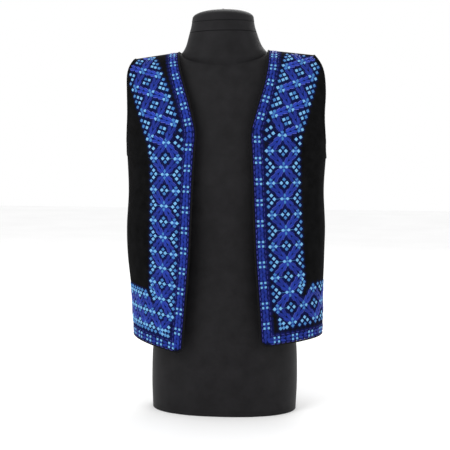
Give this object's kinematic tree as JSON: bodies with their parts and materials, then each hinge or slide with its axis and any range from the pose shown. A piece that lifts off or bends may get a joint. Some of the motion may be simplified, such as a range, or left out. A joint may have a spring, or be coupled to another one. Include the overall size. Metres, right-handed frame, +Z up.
{
  "type": "embroidered folk vest on a limbless dress form",
  "caption": "Open-fronted, sleeveless, waist-length black wool vest with dense blue embroidery, resting on a plain limbless dress form.",
  "frame": {"origin": "middle of the part's floor plan, on the underside of the dress form", "axes": "+Z up, +X towards the wearer's left, the wearer faces -Y"},
  "size_m": [0.388, 0.2374, 0.7757],
  "materials": {
    "black_wool": "matte felted black wool cloth",
    "black_cord": "twisted black cord, slight sheen",
    "form_cover": "black knitted cover, faint sheen and lint",
    "royal_blue_thread": "satin-stitched royal blue embroidery thread",
    "navy_thread": "satin-stitched navy embroidery thread",
    "sky_blue_thread": "satin-stitched sky blue embroidery thread",
    "violet_thread": "violet-blue running stitches"
  },
  "bodies": {
    "root": {"back": "black_wool", "front_right": "black_wool", "front_left": "black_wool", "edge_piping": "black_cord", "armhole_piping_right": "black_cord", "armhole_piping_left": "black_cord", "form_body": "form_cover", "form_neck_band": "form_cover", "form_neck_cap": "form_cover"}
  },
  "joints": []
}
